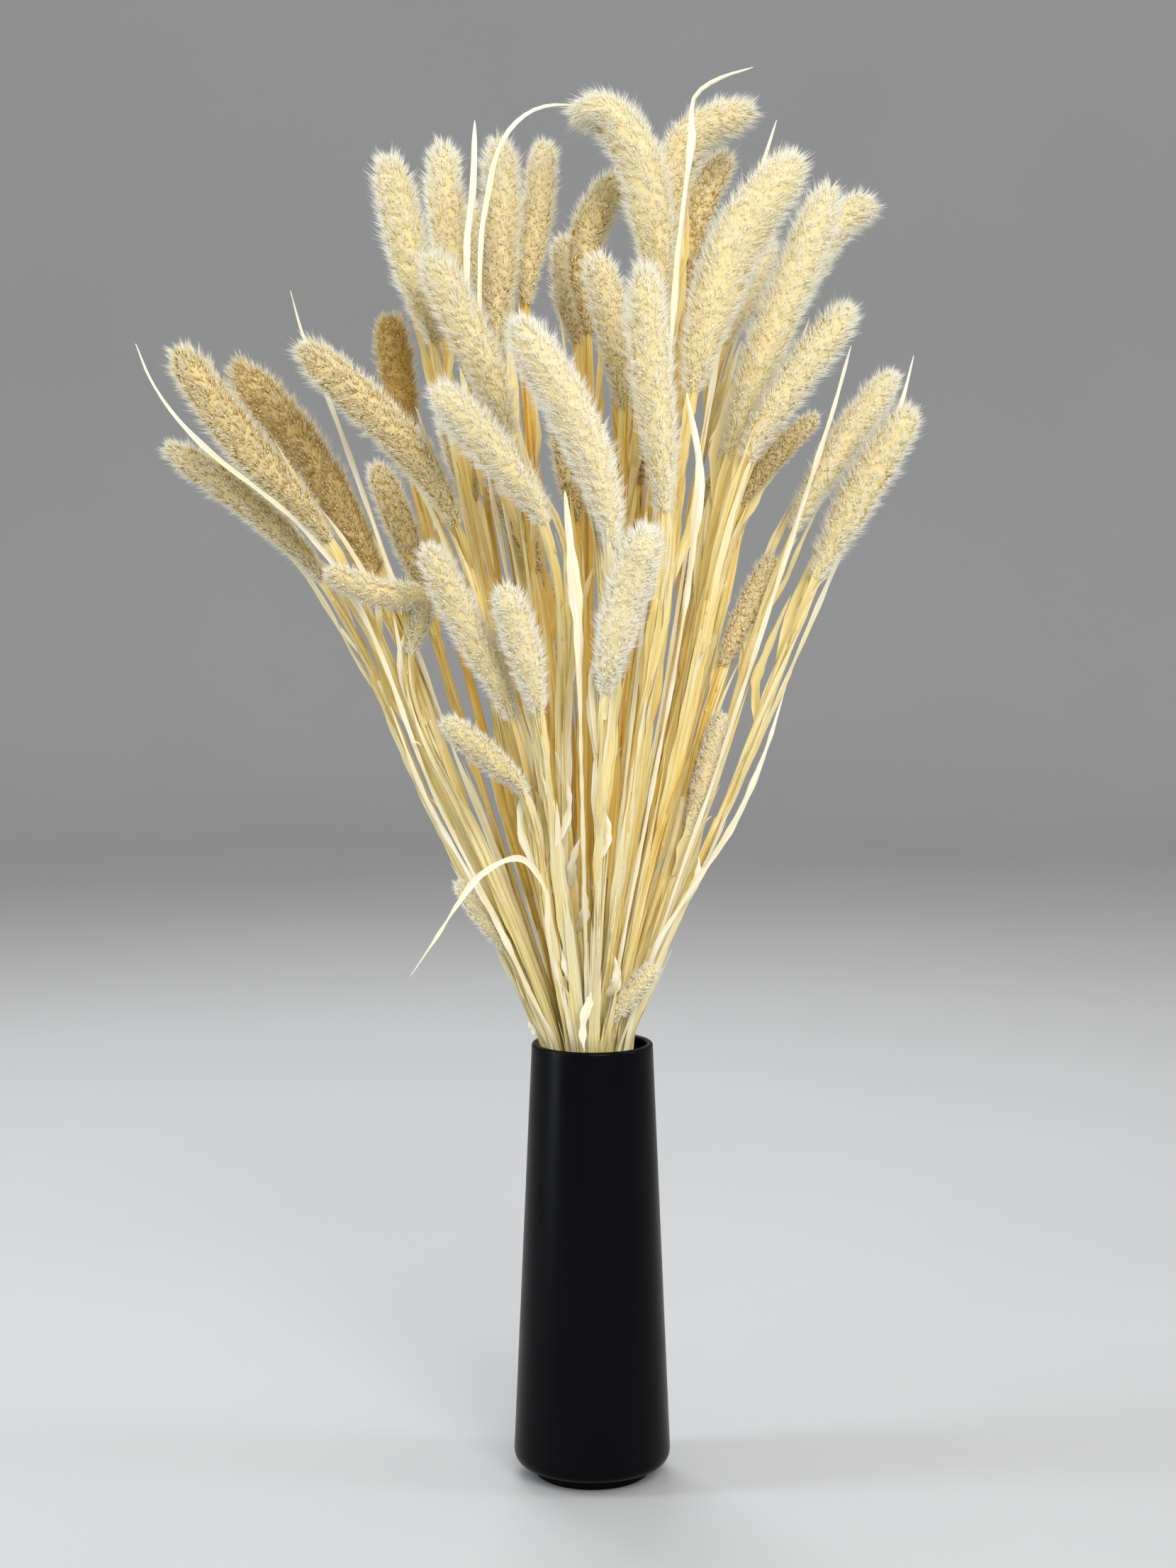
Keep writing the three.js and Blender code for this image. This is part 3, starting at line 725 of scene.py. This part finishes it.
def vase_surface():
    """The vase, turned about its axis on the corners of its own solid.

    Straight runs join the corners, with a point close to each end that keeps the shading flat. The base and
    the inside of the floor are quadratic curves, and the lip is a half circle between the wall's two edges.
    """
    centres, radii, _ = rings_of("vase")
    solid = np.stack([radii, centres[:, 2]], axis=-1)
    foot, foot_edge, foot_top, ledge = solid[:4]
    side, shoulder, inner_edge, wall_foot, floor_edge = solid[[6, 7, 13, 14, 17]]
    near_ends = np.array([0, 0.02, 0.5, 0.98, 1])[:, None]

    def straight(start, end):
        return start + (end - start) * near_ends

    lip_centre, lip = (shoulder + inner_edge) / 2, (shoulder[0] - inner_edge[0]) / 2
    a = np.linspace(0, math.pi, 14)[:, None]
    profile = np.vstack([
        [[0, foot[1]]],
        straight(np.array([0.002, foot[1]]), foot)[:-1],
        straight(foot_edge, foot_top)[:-1],
        straight(foot_top, ledge)[:-1],
        bend(ledge, np.array([side[0], ledge[1]]), side, 14)[:-1],
        straight(side, shoulder)[:-1],
        (lip_centre + lip * np.hstack([np.cos(a), np.sin(a)]))[:-1],
        straight(inner_edge, wall_foot)[:-1],
        bend(wall_foot, np.array([wall_foot[0], floor_edge[1]]), floor_edge, 8),
        [[0.002, floor_edge[1]], [0, floor_edge[1]]],
    ])
    return revolved(profile, 144, 0)


def cove_surface():
    """The round floor, its soft curve and the wall round it, as one outline turned about the axis."""
    ring = np.linspace(0.05, STAGE_RADIUS, 24)
    flat = np.stack([ring, np.zeros(24)], axis=-1)
    edge, corner = np.array([STAGE_RADIUS, 0]), np.array([STAGE_RADIUS + STAGE_BEND, 0])
    curve = bend(edge, corner, corner + [0, STAGE_BEND], 24)[1:]
    wall = corner + np.array([[0, STAGE_WALL]])
    sides = 96
    surface = revolved(np.vstack([[[0, 0]], flat, curve, wall, [[0, STAGE_WALL]]]), sides, 0)
    return surface._replace(triangles=surface.triangles[:-sides], finish=surface.finish[:-sides])


def floor_material(colour):
    """Plain pale paint with a faint unevenness."""
    material, surface, add = shader("pale_floor", Roughness=0.8, Specular_IOR_Level=0.0)
    place = add("ShaderNodeTexCoord").outputs["Object"]
    tone = add("ShaderNodeTexNoise", {"Vector": place, "Scale": 3.0, "Detail": 2.0}).outputs["Fac"]
    light, dark = [c * 1.015 for c in colour], [c * 0.985 for c in colour]
    material.node_tree.links.new(ramp(add, tone, [(0.3, dark), (0.7, light)]), surface.inputs["Base Color"])
    return material


def soft_light(name, place, target, size, power, colour=(1.0, 1.0, 1.0)):
    """A rectangular soft light that faces a target and isn't seen itself. The light is returned."""
    light = bpy.data.lights.new(name, "AREA")
    light.shape = "RECTANGLE"
    light.size, light.size_y = size
    light.energy, light.color = power, colour
    lamp = bpy.data.objects.new(name, light)
    lamp.location = place
    lamp.rotation_euler = (Vector(target) - Vector(place)).to_track_quat("-Z", "Y").to_euler()
    lamp.visible_camera = False
    bpy.context.scene.collection.objects.link(lamp)
    return lamp


# Sizes and colours that a user would change


class FoxtailSizes(bpy.types.PropertyGroup):
    """The numbers and sizes of the grass's husks, bristles and blades"""

    husks: bpy.props.IntProperty(name="Husks", description="Husks on a head of 12 cm", default=860, min=60)
    husk_length: bpy.props.FloatProperty(
        name="Husk length",
        description="Length of one husk",
        default=1.8 * MM,
        unit="LENGTH",
        precision=5,
    )
    bristles: bpy.props.IntProperty(
        name="Bristles",
        description="Bristles on a head of 12 cm",
        default=5900,
        min=400,
    )
    bristle_width: bpy.props.FloatProperty(
        name="Bristle width",
        description="Width of a bristle at its root",
        default=0.36 * MM,
        unit="LENGTH",
        precision=5,
    )
    bristle_lean: bpy.props.FloatProperty(
        name="Bristle lean",
        description="0 stands straight out of the head, and 1 leans half way up it",
        default=0.85,
    )
    fringe: bpy.props.FloatProperty(
        name="Fringe",
        description="How far the bristles stand out of the husks",
        default=5.2 * MM,
        unit="LENGTH",
        precision=5,
    )
    blades: bpy.props.IntProperty(
        name="Blades",
        description="Blades that lie close along a stem",
        default=16,
        min=0,
    )
    flag_blades: bpy.props.IntProperty(
        name="Flag blades",
        description="Blades behind a stalk's head",
        default=6,
        min=0,
    )
    torn_sheaths: bpy.props.IntProperty(
        name="Torn sheaths",
        description="Papery ends on a stem",
        default=2,
        min=0,
    )
    torn_length: bpy.props.FloatProperty(
        name="Torn length",
        description="Usual length of a papery end",
        default=26 * MM,
        unit="LENGTH",
    )
    blade_length: bpy.props.FloatProperty(
        name="Blade length",
        description="Usual length of a stalk's own leaf blades",
        default=110 * MM,
        unit="LENGTH",
    )
    blade_width: bpy.props.FloatProperty(
        name="Blade width",
        description="Usual width of a stalk's own leaf blades",
        default=6.5 * MM,
        unit="LENGTH",
    )


class FoxtailLooks(bpy.types.PropertyGroup):
    """The colours of the grass, and the vase's colour and gloss"""

    bleached_colour: bpy.props.FloatVectorProperty(
        name="Bleached",
        description="Bristle tips and bleached straw",
        subtype="COLOR",
        size=3,
        default=(0.98, 0.95, 0.83),
    )
    cream_colour: bpy.props.FloatVectorProperty(
        name="Cream",
        description="Most husks and bristles",
        subtype="COLOR",
        size=3,
        default=(0.94, 0.88, 0.65),
    )
    # Painted golden shade at bristle roots, between husks and deep inside the bunch, and the darker husks'
    # own tan
    deep_and_shade_colour: bpy.props.FloatVectorProperty(
        name="Deep",
        description="Bristle roots, deep in a head",
        subtype="COLOR",
        size=3,
        default=(0.8, 0.65, 0.3),
    )
    # The brown of a ripe head, and also the painted shade of heads that stand in shadow
    ripe_and_shade_colour: bpy.props.FloatVectorProperty(
        name="Ripe",
        description="The brown depths of a ripe head",
        subtype="COLOR",
        size=3,
        default=(0.5, 0.31, 0.05),
    )
    # The darkest straw, and the painted golden shade on stems and blades deep inside the bunch
    straw_and_shade_colour: bpy.props.FloatVectorProperty(
        name="Straw",
        description="Golden straw deep in the bunch",
        subtype="COLOR",
        size=3,
        default=(0.8, 0.54, 0.11),
    )
    stem_colour: bpy.props.FloatVectorProperty(
        name="Stem",
        description="Most stems and blades",
        subtype="COLOR",
        size=3,
        default=(0.88, 0.75, 0.34),
    )
    papery_colour: bpy.props.FloatVectorProperty(
        name="Papery",
        description="The palest dry blades",
        subtype="COLOR",
        size=3,
        default=(0.93, 0.87, 0.65),
    )
    glaze_colour: bpy.props.FloatVectorProperty(
        name="Glaze",
        description="The vase's black glaze",
        subtype="COLOR",
        size=3,
        default=(0.002, 0.0022, 0.003),
    )
    glaze_roughness: bpy.props.FloatProperty(
        name="Glaze roughness",
        description="0 is a mirror, 1 is matt",
        default=0.3,
        min=0.05,
        max=0.95,
        subtype="FACTOR",
    )


class FoxtailStage(bpy.types.PropertyGroup):
    """The floor's colour and the strengths of the lights"""

    floor_colour: bpy.props.FloatVectorProperty(
        name="Floor",
        description="The plain pale floor and its curved wall",
        subtype="COLOR",
        size=3,
        default=(0.5, 0.51, 0.53),
    )
    key_power: bpy.props.FloatProperty(
        name="Key light",
        description="Power of the large soft light",
        default=30.0,
        unit="POWER",
        min=0.0,
    )
    fill_power: bpy.props.FloatProperty(
        name="Fill light",
        description="Power that the side and back lights take a share of",
        default=11.0,
        unit="POWER",
        min=0.0,
    )
    gloss_power: bpy.props.FloatProperty(
        name="Gloss light",
        description="Power of the light that only shows in the glaze",
        default=5.0,
        unit="POWER",
        min=0.0,
    )
    sky: bpy.props.FloatProperty(
        name="Daylight",
        description="Strength of the even light from above",
        default=0.6,
        min=0.0,
    )


# Operators


def grass_materials(looks):
    """The three finishes of a grass piece, in the order of its slots."""
    return [straw_material(looks), spikelet_material(looks), bristle_material(looks)]


class OBJECT_OT_foxtail_stalks(bpy.types.Operator):
    """Grow every foxtail stalk on its solid, from its cut end in the vase to the tip of its furry head"""

    bl_idname = "object.foxtail_stalks"
    bl_label = "Foxtail Stalks"

    def execute(self, context):
        sizes, materials = context.scene.foxtail_sizes, grass_materials(context.scene.foxtail_looks)
        for node in STALKS:
            name = node.replace("foxtail", "foxtail_stalk")
            piece = new_piece(name, stalk_surface(node, sizes), materials)
            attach(piece, "root")
            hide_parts(node)
        return {"FINISHED"}


class OBJECT_OT_leaf_blades(bpy.types.Operator):
    """Shape every large dry leaf blade on its solid"""

    bl_idname = "object.leaf_blades"
    bl_label = "Leaf Blades"

    def execute(self, context):
        materials = [straw_material(context.scene.foxtail_looks)]
        for node in BLADES:
            piece = new_piece(node.replace("leaf", "leaf_blade"), blade_surface(node), materials)
            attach(piece, "root")
            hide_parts(node)
        return {"FINISHED"}


class OBJECT_OT_glazed_vase(bpy.types.Operator):
    """Turn the vase on its solid's outline, with a smoother surface, and glaze it"""

    bl_idname = "object.glazed_vase"
    bl_label = "Glazed Vase"

    def execute(self, context):
        piece = new_piece("glazed_vase", vase_surface(), [glaze_material(context.scene.foxtail_looks)])
        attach(piece, "root")
        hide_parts("vase")
        return {"FINISHED"}


class OBJECT_OT_foxtail_stage(bpy.types.Operator):
    """Set the pale floor with its curved wall, the soft lights and the camera at the photograph's angle"""

    bl_idname = "object.foxtail_stage"
    bl_label = "Floor, Lights and Camera"

    def execute(self, context):
        scene, stage = context.scene, context.scene.foxtail_stage
        floor = new_piece("floor", cove_surface(), [floor_material(stage.floor_colour)])

        key, fill, gloss = stage.key_power, stage.fill_power, stage.gloss_power
        middle, warm, cool = (0.0, 0.0, 0.4), (1.0, 0.98, 0.94), (0.9, 0.95, 1.0)
        soft_light("key_light", (0.45, -1.8, 1.35), middle, (1.1, 1.1), key, warm)
        soft_light("left_light", (-1.25, -0.2, 1.0), middle, (0.3, 1.4), 0.8 * fill, cool)
        soft_light("right_light", (1.25, -0.2, 1.0), middle, (0.3, 1.4), 0.4 * fill, cool)
        soft_light("back_light", (-0.3, 1.2, 1.5), (0.0, 0.0, 0.5), (1.0, 0.7), 1.5 * fill)
        lamp = soft_light("gloss_light", (-1.3, -0.42, 0.3), (0.0, 0.0, 0.2), (0.3, 0.55), gloss, cool)
        lamp.visible_diffuse = False
        world = bpy.data.worlds.new("soft_daylight")
        world.use_nodes = True
        daylight = world.node_tree.nodes["Background"]
        daylight.inputs["Color"].default_value = (1.0, 0.97, 0.91, 1.0)
        daylight.inputs["Strength"].default_value = stage.sky
        scene.world = world
        scene.view_settings.view_transform = "Standard"

        lens = bpy.data.cameras.new("photo_camera")
        lens.sensor_width = SENSOR_WIDTH
        lens.lens = SENSOR_WIDTH * FOCAL_PIXELS / max(PHOTO_SIZE)
        camera = bpy.data.objects.new("photo_camera", lens)
        camera.location = EYE
        camera.rotation_euler = Euler((math.pi / 2 - EYE_PITCH, 0.0, 0.0))
        scene.collection.objects.link(camera)
        scene.camera = camera
        return {"FINISHED"}


class VIEW3D_PT_foxtail_grass(bpy.types.Panel):
    """The bunch's sizes and colours, and a button for each group of pieces"""

    bl_label = "Foxtail Grass"
    bl_idname = "VIEW3D_PT_foxtail_grass"
    bl_space_type = "VIEW_3D"
    bl_region_type = "UI"
    bl_category = "Foxtail Grass"

    def draw(self, context):
        for group in (context.scene.foxtail_sizes, context.scene.foxtail_looks, context.scene.foxtail_stage):
            box = self.layout.box()
            for name in group.bl_rna.properties.keys():
                if name not in ("rna_type", "name"):
                    box.prop(group, name)
        for operator in OPERATORS:
            self.layout.operator(operator.bl_idname)


OPERATORS = (OBJECT_OT_glazed_vase, OBJECT_OT_foxtail_stalks, OBJECT_OT_leaf_blades, OBJECT_OT_foxtail_stage)
GROUPS = {"foxtail_sizes": FoxtailSizes, "foxtail_looks": FoxtailLooks, "foxtail_stage": FoxtailStage}


def register():
    for group in GROUPS.values():
        bpy.utils.register_class(group)
    for name, group in GROUPS.items():
        setattr(bpy.types.Scene, name, bpy.props.PointerProperty(type=group))
    for operator in OPERATORS:
        bpy.utils.register_class(operator)
    bpy.utils.register_class(VIEW3D_PT_foxtail_grass)


def unregister():
    bpy.utils.unregister_class(VIEW3D_PT_foxtail_grass)
    for operator in reversed(OPERATORS):
        bpy.utils.unregister_class(operator)
    for name, group in GROUPS.items():
        delattr(bpy.types.Scene, name)
        bpy.utils.unregister_class(group)


def main():
    register()
    bpy.ops.object.glazed_vase()
    bpy.ops.object.foxtail_stalks()
    bpy.ops.object.leaf_blades()
    bpy.ops.object.foxtail_stage()


if __name__ == "__main__":
    main()
